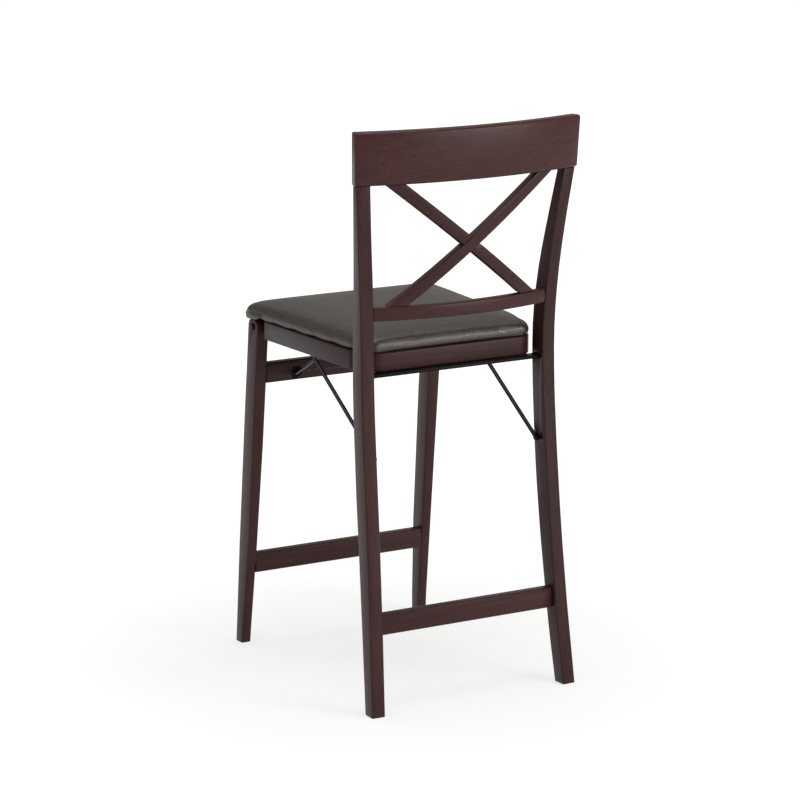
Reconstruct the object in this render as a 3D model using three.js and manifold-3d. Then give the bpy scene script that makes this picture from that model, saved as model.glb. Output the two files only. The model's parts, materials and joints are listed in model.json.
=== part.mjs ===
// Folding bar stool with a padded seat, a bowed crest rail and crossed back slats.
// Millimetres, +Z up, +Y towards the backrest, +X towards the sitter's left; the origin is on the floor.
import * as THREE from "three";
import { mergeVertices } from "three/addons/utils/BufferGeometryUtils.js";
import Module from "manifold-3d";

const wasm = await Module();
wasm.setup();

// Clearances
const seam = 0.3;
const overrun = 2;

// Overall footprint
const footprintDepth = 578;
const heelY = footprintDepth / 2;
const toeY = -footprintDepth / 2;

// Rear posts: bent in side view, flared outwards, toed in at the top
const postHeight = 996;
const postWidth = 27.5;
const postDepth = 39.7;
const postWaistHalf = 210;
const postFlare = 24.5;
const postSetback = 66.5;
const postToe = 9;
const postArris = 1.8;
const postSections = 26;
const postShares = [
  { height: 0, setback: 0.045, flare: 0.571, depth: 0.756, toe: 0.22 },
  { height: 0.1, setback: 0.232, flare: 0.384, depth: 0.85, toe: 0.22 },
  { height: 0.2, setback: 0.408, flare: 0.241, depth: 0.905, toe: 0.22 },
  { height: 0.3, setback: 0.573, flare: 0.131, depth: 0.957, toe: 0.22 },
  { height: 0.4, setback: 0.731, flare: 0.069, depth: 0.995, toe: 0.22 },
  { height: 0.5, setback: 0.87, flare: 0.029, depth: 0.975, toe: 0.22 },
  { height: 0.6, setback: 0.972, flare: 0.008, depth: 0.955, toe: 0.22 },
  { height: 0.7, setback: 1, flare: 0.037, depth: 0.93, toe: 0.45 },
  { height: 0.8, setback: 0.931, flare: 0.237, depth: 0.811, toe: 0.78 },
  { height: 0.9, setback: 0.792, flare: 0.596, depth: 0.64, toe: 1 },
  { height: 1, setback: 0.592, flare: 0.99, depth: 0.505, toe: 1 },
];

// Crest rail, lower back rail and crossed slats
const crestHeight = 99;
const crestThickness = 25;
const crestOverhang = 3;
const crestHalf = postWaistHalf + postFlare + crestOverhang;
const crestFlare = 3;
const crestLean = 6;
const crestToe = 15;
const crestBow = 38;
const crestRound = 3.5;
const backRailRise = 67.5;
const backRailHeight = 26;
const backRailThickness = 18;
const backRailBow = 30;
const backRailRecess = 0.6;
const railSteps = 18;
const railRound = 2;
const slatWidth = 21;
const slatThickness = 20;
const slatLowSetIn = 70;
const slatHighSetIn = 52.5;
const slatLowHalf = postWaistHalf - slatLowSetIn;
const slatHighHalf = postWaistHalf - slatHighSetIn;
const slatRecess = 1.6;
const slatStep = 1;
const slatSections = 14;

// Front legs: raked, swelling in side view, with a rounded top
const legSetIn = 0.5;
const legOuterHalf = postWaistHalf - legSetIn;
const legFlare = 4;
const legWidth = 25;
const legFootWidth = 20;
const legDepth = 40.8;
const legRake = 59.2;
const legArris = 1.8;
const legPivotHeight = 655;
const legTopRise = 14;
const legTopClearance = 2.5;
const legSections = 16;
const legShares = [
  { height: 0, front: 0, depth: 0.625, width: 0, flare: 1 },
  { height: 0.08, front: 0.04, depth: 0.7, width: 0, flare: 0.65 },
  { height: 0.16, front: 0.09, depth: 0.8, width: 0, flare: 0.45 },
  { height: 0.24, front: 0.14, depth: 0.9, width: 0, flare: 0.2 },
  { height: 0.32, front: 0.2, depth: 0.975, width: 0.06, flare: 0.05 },
  { height: 0.46, front: 0.35, depth: 0.995, width: 0.4, flare: 0.02 },
  { height: 0.61, front: 0.525, depth: 1, width: 0.75, flare: 0 },
  { height: 0.765, front: 0.71, depth: 0.972, width: 1, flare: 0 },
  { height: 0.89, front: 0.875, depth: 0.96, width: 1, flare: 0 },
  { height: 1, front: 1, depth: 0.973, width: 1, flare: 0 },
];
const legCrownShares = [
  { rise: 0, depth: 1 },
  { rise: 0.36, depth: 0.95 },
  { rise: 0.64, depth: 0.85 },
  { rise: 0.86, depth: 0.68 },
  { rise: 1, depth: 0.42 },
];

// Stretchers
const stretcherHeight = 40;
const stretcherThickness = 20;
const rearStretcherLow = 148;
const rearStretcherRecess = 9.5;
const footrestLow = 147.5;
const footrestRecess = 0.4;
const frontRailBelowPivot = 114;
const frontRailLow = legPivotHeight - frontRailBelowPivot;
const frontRailRecess = 0.4;

// Seat frame
const seatFrameTop = legPivotHeight + legTopRise + legTopClearance;
const seatRailHeight = 35.5;
const seatPostSetForward = 25.5;
const seatPostGap = 1.6;
const seatRearRound = 30;
const seatRearThickness = 21;
const sideRailThickness = 19;
const sideRailBehindPivot = 42;
const sideRailSetIn = 3.5;
const sideRailFrontHalf = legOuterHalf - sideRailSetIn;
const shoulderWidth = 12;
const shoulderFromRear = 54;
const shoulderRun = 15;
const apronAheadOfPivot = 28;
const frontApronThickness = 20;
const hingeBlockThickness = 20.5;
const hingeBlockBehindPivot = 68;
const hingeBlockRise = 5;
const hingeGap = 0.6;
const cornerBlockLeg = 34;
const cornerBlockHeight = 26;
const railArris = 1.5;

// Seat board and cushion
const boardThickness = 6;
const boardInset = 9;
const cushionAheadOfPivot = 35;
const cushionOverhang = 3.6;
const cushionFrontHalf = legOuterHalf + cushionOverhang;
const cushionRise = 40;
const cushionFrontRound = 25;
const cushionRearRound = 27;
const legRecessRise = 3.8;
const legRecessMargin = 10;
const legRecessBehind = 30;
const cushionShares = [
  { rise: 0, inset: 0.008 },
  { rise: 0.07, inset: 0.003 },
  { rise: 0.16, inset: 0 },
  { rise: 0.28, inset: 0 },
  { rise: 0.44, inset: 0.01 },
  { rise: 0.59, inset: 0.034 },
  { rise: 0.7, inset: 0.078 },
  { rise: 0.79, inset: 0.155 },
  { rise: 0.87, inset: 0.29 },
  { rise: 0.95, inset: 0.53 },
  { rise: 1, inset: 0.86 },
];

// Stop bar under the rear rail of the seat
const stopBarDepth = 25;
const stopBarThickness = 6;
const stopBarSetForward = 10;
const stopBarHousing = 8;

// Braces: flat steel bars from the rear posts to the seat
const seatPivotBehindLeg = 141.55;
const seatPivotDrop = 16.1;
const postPivotDrop = 195.5;
const postPivotSetForward = 23;
const braceWidth = 9;
const braceEyeWidth = 14;
const braceThickness = 3;
const braceCollarLength = 4;
const braceEyeHole = 6.8;
const linkEyeFromSeat = 56;

// Rivets, bolts and screws
const rivetShank = 6;
const rivetHead = 12;
const rivetHeadThickness = 2.2;
const rivetCollar = 11;
const rivetTipLength = 13;
const boltShank = 8;
const boltHead = 15;
const boltHeadThickness = 3.4;
const boltPlay = 0.6;
const nutAcross = 13;
const nutThickness = 6;
const screwShank = 3;
const screwHead = 6;
const screwHeadThickness = 1.6;
const screwLength = 13;
const roundSides = 24;

// Link brackets on the front rail and the wire links
const bracketWidth = 17;
const bracketHeight = 24;
const bracketPlate = 2;
const bracketEar = 2.4;
const bracketEarRadius = 5.5;
const bracketSetIn = 92;
const bracketHalf = postWaistHalf - bracketSetIn;
const bracketScrewInset = 4.2;
const linkPivotRise = 15;
const linkPivotZ = frontRailLow + linkPivotRise;
const linkPivotReach = 12;
const linkWire = 6;
const linkBend = 8;
const linkTail = 4;
const linkSteps = 26;

// Finishes
const espresso = new THREE.MeshStandardMaterial({ color: 0x482f30, roughness: 0.42, metalness: 0 });
const hiddenWood = new THREE.MeshStandardMaterial({ color: 0x5a4038, roughness: 0.6, metalness: 0 });
const vinyl = new THREE.MeshStandardMaterial({ color: 0x423d3a, roughness: 0.45, metalness: 0 });
const blackSteel = new THREE.MeshStandardMaterial({ color: 0x161616, roughness: 0.35, metalness: 0.6 });
const plywood = new THREE.MeshStandardMaterial({ color: 0x9a7a55, roughness: 0.7, metalness: 0 });

const root = new THREE.Group();
const degrees = (angle) => THREE.MathUtils.degToRad(angle);
const sides = [
  { name: "left", sign: 1 },
  { name: "right", sign: -1 },
];

// A smooth curve through a table of stations, each value read by its key.
function stationValue(stations, at, key, place) {
  let k = 0;
  while (k < stations.length - 2 && place > stations[k + 1][at]) {
    k += 1;
  }
  const a = stations[k];
  const b = stations[k + 1];
  const before = stations[Math.max(k - 1, 0)];
  const after = stations[Math.min(k + 2, stations.length - 1)];
  const span = b[at] - a[at];
  const t = THREE.MathUtils.clamp((place - a[at]) / span, 0, 1);
  const slopeA = ((b[key] - before[key]) / (b[at] - before[at])) * span;
  const slopeB = ((after[key] - a[key]) / (after[at] - a[at])) * span;
  const t2 = t * t;
  const t3 = t2 * t;
  return (
    (2 * t3 - 3 * t2 + 1) * a[key] + (t3 - 2 * t2 + t) * slopeA +
    (3 * t2 - 2 * t3) * b[key] + (t3 - t2) * slopeB
  );
}

// A closed skin over rings of points that all have the same count.
function loft(rings) {
  const count = rings[0].length;
  const positions = [];
  const index = [];
  rings.forEach((ring) => ring.forEach((p) => positions.push(p.x, p.y, p.z)));
  for (let r = 0; r < rings.length - 1; r += 1) {
    for (let i = 0; i < count; i += 1) {
      const a = r * count + i;
      const b = r * count + ((i + 1) % count);
      index.push(a, b, a + count, b, b + count, a + count);
    }
  }
  const endStart = (rings.length - 1) * count;
  for (let i = 1; i < count - 1; i += 1) {
    index.push(0, i + 1, i);
    index.push(endStart, endStart + i, endStart + i + 1);
  }
  const geometry = new THREE.BufferGeometry();
  geometry.setAttribute("position", new THREE.Float32BufferAttribute(positions, 3));
  geometry.setIndex(index);
  return facingOut(geometry);
}

// The geometry with its faces turned to point outwards.
function facingOut(geometry) {
  const p = geometry.getAttribute("position");
  const index = geometry.getIndex().array;
  const a = new THREE.Vector3();
  const b = new THREE.Vector3();
  const c = new THREE.Vector3();
  let volume = 0;
  for (let i = 0; i < index.length; i += 3) {
    a.fromBufferAttribute(p, index[i]);
    b.fromBufferAttribute(p, index[i + 1]);
    c.fromBufferAttribute(p, index[i + 2]);
    volume += a.dot(b.cross(c));
  }
  if (volume < 0) {
    const turned = Array.from(index);
    for (let i = 0; i < turned.length; i += 3) {
      [turned[i + 1], turned[i + 2]] = [turned[i + 2], turned[i + 1]];
    }
    geometry.setIndex(turned);
  }
  return geometry;
}

// Joins and cuts
function solidOf(geometry) {
  const bare = geometry.clone();
  bare.deleteAttribute("normal");
  bare.deleteAttribute("uv");
  const merged = mergeVertices(bare, 1e-4);
  return new wasm.Manifold(
    new wasm.Mesh({
      numProp: 3,
      vertProperties: merged.getAttribute("position").array,
      triVerts: new Uint32Array(merged.getIndex().array),
    }),
  );
}

function geometryOf(solid) {
  const mesh = solid.getMesh();
  const geometry = new THREE.BufferGeometry();
  geometry.setAttribute("position", new THREE.BufferAttribute(mesh.vertProperties, 3));
  geometry.setIndex(new THREE.BufferAttribute(mesh.triVerts, 1));
  return geometry;
}

function cut(geometry, ...tools) {
  let solid = solidOf(geometry);
  tools.forEach((tool) => {
    solid = solid.subtract(solidOf(tool));
  });
  return geometryOf(solid);
}

function join(geometry, ...others) {
  let solid = solidOf(geometry);
  others.forEach((other) => {
    solid = solid.add(solidOf(other));
  });
  return geometryOf(solid);
}

function mirrored(geometry) {
  const copy = geometry.clone().applyMatrix4(new THREE.Matrix4().makeScale(-1, 1, 1));
  if (!copy.getIndex()) {
    return facingOut(mergeVertices(bareOf(copy)));
  }
  return facingOut(copy);
}

function bareOf(geometry) {
  const bare = geometry.clone();
  bare.deleteAttribute("normal");
  bare.deleteAttribute("uv");
  return bare;
}

function addNode(name, geometry, material) {
  const shown = geometry.getIndex() ? geometry.toNonIndexed() : geometry;
  shown.computeVertexNormals();
  const mesh = new THREE.Mesh(shown, material);
  mesh.name = name;
  root.add(mesh);
  return mesh;
}

// A piece made for the left side, and its mirror image for the right.
function addPair(name, geometry, material) {
  sides.forEach((side) => {
    addNode(`${name}_${side.name}`, side.sign > 0 ? geometry : mirrored(geometry), material);
  });
}

// Basic blanks
function block(x0, x1, y0, y1, z0, z1) {
  const box = new THREE.BoxGeometry(x1 - x0, y1 - y0, z1 - z0);
  box.translate((x0 + x1) / 2, (y0 + y1) / 2, (z0 + z1) / 2);
  return mergeVertices(bareOf(box));
}

// An outline in plan, given as x and y, raised from z0 to z1.
function plank(points, z0, z1, round = 0) {
  const shape = new THREE.Shape(points.map(([x, y]) => new THREE.Vector2(x, y)));
  const bevel = round > 0;
  const geometry = new THREE.ExtrudeGeometry(shape, {
    depth: z1 - z0 - 2 * round,
    bevelEnabled: bevel,
    bevelThickness: round,
    bevelSize: round,
    bevelOffset: -round,
    bevelSegments: 1,
  });
  geometry.translate(0, 0, z0 + round);
  return mergeVertices(bareOf(geometry));
}

// A turned piece on an axis along X: profile pairs hold the radius and the place along X.
function turnedAlongX(profile, y, z) {
  const lathe = new THREE.LatheGeometry(
    profile.map(([radius, along]) => new THREE.Vector2(radius, along)),
    roundSides,
  );
  lathe.rotateZ(-Math.PI / 2);
  lathe.translate(0, y, z);
  return facingOut(mergeVertices(bareOf(lathe)));
}

function rodAlongX(radius, x0, x1, y, z) {
  return turnedAlongX([[0, x0], [radius, x0], [radius, x1], [0, x1]], y, z);
}

function turnedAlongY(profile, x, z) {
  const lathe = new THREE.LatheGeometry(
    profile.map(([radius, along]) => new THREE.Vector2(radius, along)),
    roundSides / 2,
  );
  lathe.translate(x, 0, z);
  return facingOut(mergeVertices(bareOf(lathe)));
}

function rodAlongY(radius, y0, y1, x, z) {
  return turnedAlongY([[0, y0], [radius, y0], [radius, y1], [0, y1]], x, z);
}

// Rear posts
function postAt(z) {
  const place = THREE.MathUtils.clamp(z / postHeight, 0, 1);
  const read = (key) => stationValue(postShares, "height", key, place);
  const toe = degrees(postToe * read("toe"));
  const normal = new THREE.Vector2(Math.sin(toe), Math.cos(toe));
  const along = new THREE.Vector2(-Math.cos(toe), Math.sin(toe));
  const rearOuter = new THREE.Vector2(
    postWaistHalf + postFlare * read("flare"),
    heelY - postSetback * read("setback"),
  );
  return { rearOuter, normal, along, toe, depth: postDepth * read("depth") };
}

function postCorner(post, across, deep) {
  return post.rearOuter.clone().addScaledVector(post.along, across).addScaledVector(post.normal, -deep);
}

function postSection(z) {
  const post = postAt(z);
  const a = postArris;
  const corners = [
    [a, 0], [postWidth - a, 0], [postWidth, a], [postWidth, post.depth - a],
    [postWidth - a, post.depth], [a, post.depth], [0, post.depth - a], [0, a],
  ];
  return corners.map(([across, deep]) => {
    const p = postCorner(post, across, deep);
    return new THREE.Vector3(p.x, p.y, z);
  });
}

// Half the clear width between the rear posts at a height and a depth.
function postInnerHalf(z, y) {
  const post = postAt(z);
  const inner = postCorner(post, postWidth, 0);
  return inner.x - (inner.y - y) * Math.tan(post.toe);
}

function rearFaceY(z) {
  return postCorner(postAt(z), postWidth, 0).y;
}

// Brace and seat pivots
const legAtPivot = legAt(legPivotHeight);
const legPivotY = (legAtPivot.front + legAtPivot.rear) / 2;
const seatPivot = new THREE.Vector2(legPivotY + seatPivotBehindLeg, seatFrameTop - seatPivotDrop);
const postPivotZ = seatFrameTop - postPivotDrop;
const postPivot = new THREE.Vector2(rearFaceY(postPivotZ) - postPivotSetForward, postPivotZ);
const braceLength = seatPivot.distanceTo(postPivot);
const braceDirection = seatPivot.clone().sub(postPivot).normalize();
const linkEye = postPivot.clone().addScaledVector(braceDirection, braceLength - linkEyeFromSeat);
const seatFrameBottom = seatFrameTop - seatRailHeight;
const stopBarTop = seatFrameBottom - seam;
const stopBarBottom = stopBarTop - stopBarThickness;
const stopBarRearY = rearFaceY(stopBarTop) - stopBarSetForward;
const stopBarFrontY = stopBarRearY - stopBarDepth;
const seatRearY = rearFaceY(seatFrameTop) - seatPostSetForward;
const seatRearHalf = postInnerHalf(seatFrameTop, seatRearY) - seatPostGap;
const sideRailRearHalf = seatRearHalf + shoulderWidth;
const sideRailFrontY = legPivotY + sideRailBehindPivot;
const frontApronY = legPivotY - apronAheadOfPivot;
const hingeBlockRearY = legPivotY + hingeBlockBehindPivot;
const cushionFrontY = legPivotY - cushionAheadOfPivot;
const shoulderY = seatRearY - shoulderFromRear;
const braceOuterHalf = postFaceAtPivot() - braceCollarLength;
const braceInnerHalf = braceOuterHalf - braceThickness;

// The least clear half width behind a rivet, over the span of its collar.
function postFaceAtPivot() {
  const reach = rivetCollar / 2;
  const places = [-reach, 0, reach];
  return Math.min(...places.map((step) => postInnerHalf(postPivot.y + step, postPivot.x - reach)));
}

function buildRearPosts() {
  const rings = [];
  for (let k = 0; k <= postSections; k += 1) {
    rings.push(postSection((postHeight * k) / postSections));
  }
  const housingEnd = postInnerHalf(stopBarTop, stopBarRearY) + stopBarHousing;
  const housing = block(
    0, housingEnd,
    stopBarFrontY - seam, stopBarRearY + seam,
    stopBarBottom - seam, stopBarTop + seam,
  );
  const face = postFaceAtPivot();
  const rivetHole = rodAlongX(
    rivetShank / 2 + seam,
    face - overrun,
    face + rivetTipLength + seam,
    postPivot.x,
    postPivot.y,
  );
  addPair("rear_post", cut(loft(rings), housing, rivetHole), espresso);
}

// The section of a rail in its own depth and height, with eased long edges.
function railSection(thickness, height, round) {
  const r = round;
  return [
    [0, r], [-r, 0], [r - thickness, 0], [-thickness, r],
    [-thickness, height - r], [r - thickness, height], [-r, height], [0, height - r],
  ];
}

// A rail across the stool that meets the faces given by halfAt, bowed back in its middle.
function crossRail({ rearY, low, height, thickness, round, bow, lean, halfAt, steps }) {
  const section = railSection(thickness, height, round);
  const rings = [];
  for (let k = 0; k <= steps; k += 1) {
    const share = (2 * k) / steps - 1;
    rings.push(section.map(([dy, dz]) => {
      const y = rearY + dy + (lean * dz) / height;
      const x = share * halfAt(low + dz, y, dy);
      return new THREE.Vector3(x, y + bow * (1 - share * share), low + dz);
    }));
  }
  return loft(rings);
}

const backRailLow = seatFrameTop + backRailRise;
const crestLow = postHeight + seam;
const crestRearY = heelY - crestBow - crestLean * (1 - crestRound / crestHeight);
const backRailRearY = rearFaceY(backRailLow) - backRailRecess;

function buildBack() {
  const crest = crossRail({
    rearY: crestRearY,
    low: crestLow,
    height: crestHeight,
    thickness: crestThickness,
    round: crestRound,
    bow: crestBow,
    lean: crestLean,
    halfAt: (z, y, deep) => {
      const half = crestHalf + (crestFlare * (z - crestLow)) / crestHeight;
      return half + deep * Math.tan(degrees(crestToe));
    },
    steps: railSteps,
  });
  addNode("crest_rail", crest, espresso);
  const lowerRail = crossRail({
    rearY: backRailRearY,
    low: backRailLow,
    height: backRailHeight,
    thickness: backRailThickness,
    round: railRound,
    bow: backRailBow,
    lean: 0,
    halfAt: (z, y) => postInnerHalf(z, y) - seam,
    steps: railSteps,
  });
  addNode("lower_back_rail", lowerRail, espresso);
}

// The rear face of the back between its two rails, at a place across and up.
function backFaceY(x, z) {
  const lowTop = backRailLow + backRailHeight;
  const share = (z - lowTop) / (crestLow - lowTop);
  const lowY = backRailRearY + backRailBow * (1 - (x / postInnerHalf(lowTop, backRailRearY)) ** 2);
  const highY = crestRearY + crestBow * (1 - (x / crestHalf) ** 2);
  return THREE.MathUtils.lerp(lowY, highY, share);
}

// One slat of the cross, cut level at both ends; near and far are depths behind its rear face.
function slat(direction, near, far, widen) {
  const lowTop = backRailLow + backRailHeight;
  const longer = widen > 0 ? overrun : -seam;
  const low = lowTop - longer;
  const high = crestLow + longer;
  const slope = Math.atan2(crestLow - lowTop, slatLowHalf + slatHighHalf);
  const half = (slatWidth / 2 + widen) / Math.sin(slope);
  const rings = [];
  for (let k = 0; k <= slatSections; k += 1) {
    const z = THREE.MathUtils.lerp(low, high, k / slatSections);
    const share = (z - lowTop) / (crestLow - lowTop);
    const x = direction * THREE.MathUtils.lerp(slatLowHalf, -slatHighHalf, share);
    const corner = (side, deep) => {
      const across = x + side * half;
      return new THREE.Vector3(across, backFaceY(across, z) - slatRecess - deep, z);
    };
    rings.push([corner(-1, near), corner(1, near), corner(1, far), corner(-1, far)]);
  }
  return loft(rings);
}

function buildSlats() {
  const middle = slatThickness / 2;
  const rearSlat = cut(
    slat(1, 0, slatThickness, 0),
    slat(-1, middle - seam / 2, slatThickness + overrun, seam),
  );
  const frontSlat = cut(
    slat(-1, slatStep, slatThickness, 0),
    slat(1, -overrun, middle + seam / 2, seam),
  );
  addNode("back_slat_rear", rearSlat, espresso);
  addNode("back_slat_front", frontSlat, espresso);
}

function buildRearStretcher() {
  const middleZ = rearStretcherLow + stretcherHeight / 2;
  const stretcher = crossRail({
    rearY: postAt(middleZ).rearOuter.y - rearStretcherRecess,
    low: rearStretcherLow,
    height: stretcherHeight,
    thickness: stretcherThickness,
    round: railRound,
    bow: 0,
    lean: 0,
    halfAt: (z, y) => postInnerHalf(z, y) - seam,
    steps: 2,
  });
  addNode("rear_stretcher", stretcher, espresso);
}

// The steel bar that the seat rests on, let into the posts at both ends.
function buildStopBar() {
  const half = postInnerHalf(stopBarTop, stopBarRearY) + stopBarHousing - seam;
  const outline = [[-half, stopBarFrontY], [half, stopBarFrontY], [half, stopBarRearY], [-half, stopBarRearY]];
  addNode("seat_stop_bar", plank(outline, stopBarBottom, stopBarTop, stopBarThickness / 6), blackSteel);
}

// Front legs
function legAt(z) {
  const place = THREE.MathUtils.clamp(z / legPivotHeight, 0, 1);
  const rise = THREE.MathUtils.clamp((z - legPivotHeight) / legTopRise, 0, 1);
  const read = (key) => stationValue(legShares, "height", key, place);
  const crown = stationValue(legCrownShares, "rise", "depth", rise);
  const fullDepth = legDepth * read("depth");
  const front = toeY + legRake * read("front") + ((1 - crown) * fullDepth) / 2;
  return {
    front,
    rear: front + fullDepth * crown,
    outer: legOuterHalf + legFlare * read("flare"),
    width: THREE.MathUtils.lerp(legFootWidth, legWidth, read("width")),
  };
}

function legInnerHalf(z) {
  const leg = legAt(z);
  return leg.outer - leg.width;
}

function legSection(z) {
  const { front, rear, outer, width } = legAt(z);
  const inner = outer - width;
  const a = legArris;
  const corners = [
    [outer - a, rear], [inner + a, rear], [inner, rear - a], [inner, front + a],
    [inner + a, front], [outer - a, front], [outer, front + a], [outer, rear - a],
  ];
  return corners.map(([x, y]) => new THREE.Vector3(x, y, z));
}

function buildFrontLegs() {
  const heights = [];
  for (let k = 0; k < legSections; k += 1) {
    heights.push((legPivotHeight * k) / legSections);
  }
  legCrownShares.forEach((station) => heights.push(legPivotHeight + legTopRise * station.rise));
  const blank = loft(heights.map(legSection));
  const hole = rodAlongX(
    boltShank / 2 + seam,
    legInnerHalf(legPivotHeight) - overrun,
    legOuterHalf + overrun,
    legPivotY,
    legPivotHeight,
  );
  addPair("front_leg", cut(blank, hole), espresso);
}

// The rails between the front legs; the upper one is drilled for the screws of the link brackets.
const frontRailRearY = legAt(frontRailLow + stretcherHeight / 2).rear - frontRailRecess;
const footrestRearY = legAt(footrestLow + stretcherHeight / 2).rear - footrestRecess;
const bracketFaceY = frontRailRearY + seam;
const linkPivotY = bracketFaceY + linkPivotReach;
const screwRise = bracketHeight / 4;
const screwPlaces = [
  { name: "outer", x: bracketHalf + bracketWidth / 2 - bracketScrewInset, z: linkPivotZ - screwRise },
  { name: "inner", x: bracketHalf - bracketWidth / 2 + bracketScrewInset, z: linkPivotZ + screwRise },
];

function buildFrontRails() {
  const between = (rearY, low) => crossRail({
    rearY,
    low,
    height: stretcherHeight,
    thickness: stretcherThickness,
    round: railRound,
    bow: 0,
    lean: 0,
    halfAt: (z) => legInnerHalf(z) - seam,
    steps: 2,
  });
  const pilots = [];
  sides.forEach(({ sign }) => screwPlaces.forEach(({ x, z }) => {
    pilots.push(rodAlongY(screwShank / 2 + seam, bracketFaceY - screwLength, bracketFaceY, sign * x, z));
  }));
  addNode("front_cross_rail", cut(between(frontRailRearY, frontRailLow), ...pilots), espresso);
  addNode("footrest_rail", between(footrestRearY, footrestLow), espresso);
}

// Seat frame
function sideRailOuter(y) {
  const share = (y - sideRailFrontY) / (shoulderY - sideRailFrontY);
  return THREE.MathUtils.lerp(sideRailFrontHalf, sideRailRearHalf, share);
}

const rearRailFrontY = seatRearY - seatRearThickness;
const sideRailRearY = rearRailFrontY - seam;
const sideRailInner = (y) => sideRailOuter(y) - sideRailThickness;
const hingeOuter = legInnerHalf(legPivotHeight) - hingeGap;
const hingeInner = hingeOuter - hingeBlockThickness;

// A quarter round of points about a centre, from a start angle.
function cornerArc(x, y, radius, start, steps = 5) {
  const points = [];
  for (let k = 0; k <= steps; k += 1) {
    const angle = start + (Math.PI / 2) * (k / steps);
    points.push([x + radius * Math.cos(angle), y + radius * Math.sin(angle)]);
  }
  return points;
}

function buildSeatFrame() {
  const r = seatRearRound;
  const bottom = seatFrameBottom;
  const arcStart = seatRearY - r;
  const arcHalf = Math.max(arcStart, rearRailFrontY + seam);
  const rearArc = cornerArc(seatRearHalf - r, arcStart, r, 0).filter(([, y]) => y > arcHalf);
  const rearOutline = [
    [seatRearHalf, rearRailFrontY],
    ...rearArc,
    ...rearArc.map(([x, y]) => [-x, y]).reverse(),
    [-seatRearHalf, rearRailFrontY],
  ];
  addNode("seat_rear_rail", plank(rearOutline, bottom, seatFrameTop, railArris), espresso);

  const shoulderEnd = shoulderY + shoulderRun;
  const innerRear = sideRailInner(sideRailRearY);
  const sideOutline = [
    [sideRailInner(sideRailFrontY), sideRailFrontY], [sideRailFrontHalf, sideRailFrontY],
    [sideRailRearHalf, shoulderY], [seatRearHalf, shoulderEnd],
    [seatRearHalf, sideRailRearY], [innerRear, sideRailRearY],
  ];
  const seatHole = rodAlongX(
    rivetShank / 2 + seam,
    sideRailInner(seatPivot.x) - overrun,
    sideRailInner(seatPivot.x) + rivetTipLength + seam,
    seatPivot.x,
    seatPivot.y,
  );
  const sideRail = cut(plank(sideOutline, bottom, seatFrameTop, railArris), seatHole);
  addPair("seat_side_rail", sideRail, espresso);

  const apronHalf = hingeInner - seam;
  const apronRear = frontApronY + frontApronThickness;
  const apronOutline = [
    [-apronHalf, frontApronY], [apronHalf, frontApronY], [apronHalf, apronRear], [-apronHalf, apronRear],
  ];
  const apron = plank(apronOutline, bottom + hingeBlockRise, seatFrameTop, railArris);
  addNode("seat_front_rail", apron, espresso);

  const stepY = sideRailFrontY + seam;
  const blockOutline = [
    [hingeInner, frontApronY], [hingeOuter, frontApronY], [hingeOuter, sideRailFrontY - seam],
    [sideRailInner(stepY) - seam, sideRailFrontY - seam],
    [sideRailInner(hingeBlockRearY) - seam, hingeBlockRearY], [hingeInner, hingeBlockRearY],
  ];
  const boltHole = rodAlongX(
    boltShank / 2 + seam,
    hingeInner - overrun,
    hingeOuter + overrun,
    legPivotY,
    legPivotHeight,
  );
  const hingeBlock = cut(plank(blockOutline, bottom + hingeBlockRise, seatFrameTop), boltHole);
  addPair("leg_hinge_block", hingeBlock, espresso);

  const cornerFaceY = rearRailFrontY - seam;
  const reach = cornerBlockLeg;
  const cornerOutline = [
    [sideRailInner(cornerFaceY) - seam, cornerFaceY],
    [sideRailInner(cornerFaceY) - seam - reach, cornerFaceY],
    [sideRailInner(cornerFaceY - reach) - seam, cornerFaceY - reach],
  ];
  const cornerBlock = plank(cornerOutline, seatFrameTop - cornerBlockHeight, seatFrameTop);
  addPair("seat_corner_block", cornerBlock, hiddenWood);
}

// The outline of the cushion in plan, with rounded corners and a step in for the rear posts.
function cushionOutline() {
  const r = cushionFrontRound;
  const q = cushionRearRound;
  const steps = 9;
  const side = [];
  for (let k = 1; k <= steps; k += 1) {
    side.push([
      THREE.MathUtils.lerp(cushionFrontHalf, sideRailRearHalf, k / steps),
      THREE.MathUtils.lerp(cushionFrontY + r, shoulderY, k / steps),
    ]);
  }
  const half = [
    ...cornerArc(cushionFrontHalf - r, cushionFrontY + r, r, -Math.PI / 2),
    ...side,
    [(sideRailRearHalf + seatRearHalf) / 2, shoulderY + shoulderRun / 2],
    ...cornerArc(seatRearHalf - q, seatRearY - q, q, 0),
  ];
  return [...half, ...half.map(([x, y]) => [-x, y]).reverse()];
}

const cushionBottom = seatFrameTop + seam;

function buildCushion() {
  const outline = cushionOutline();
  const middleY = (cushionFrontY + seatRearY) / 2;
  const aspect = cushionFrontHalf / (seatRearY - middleY);
  const rings = cushionShares.map(({ rise, inset }) => outline.map(([x, y]) => new THREE.Vector3(
    x * (1 - inset),
    middleY + (y - middleY) * (1 - inset * aspect),
    cushionBottom + cushionRise * rise,
  )));
  const pocket = plank(boardOutline(seam), cushionBottom - overrun, cushionBottom + boardThickness + seam);
  const tools = sides.map(({ sign }) => {
    const near = hingeOuter - seam;
    const far = legOuterHalf + hingeGap;
    return block(
      sign > 0 ? near : -far,
      sign > 0 ? far : -near,
      cushionFrontY - overrun,
      legPivotY + legRecessBehind,
      cushionBottom - overrun,
      cushionBottom + legRecessRise,
    );
  });
  addNode("seat_cushion", cut(loft(rings), pocket, ...tools), vinyl);
}

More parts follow.
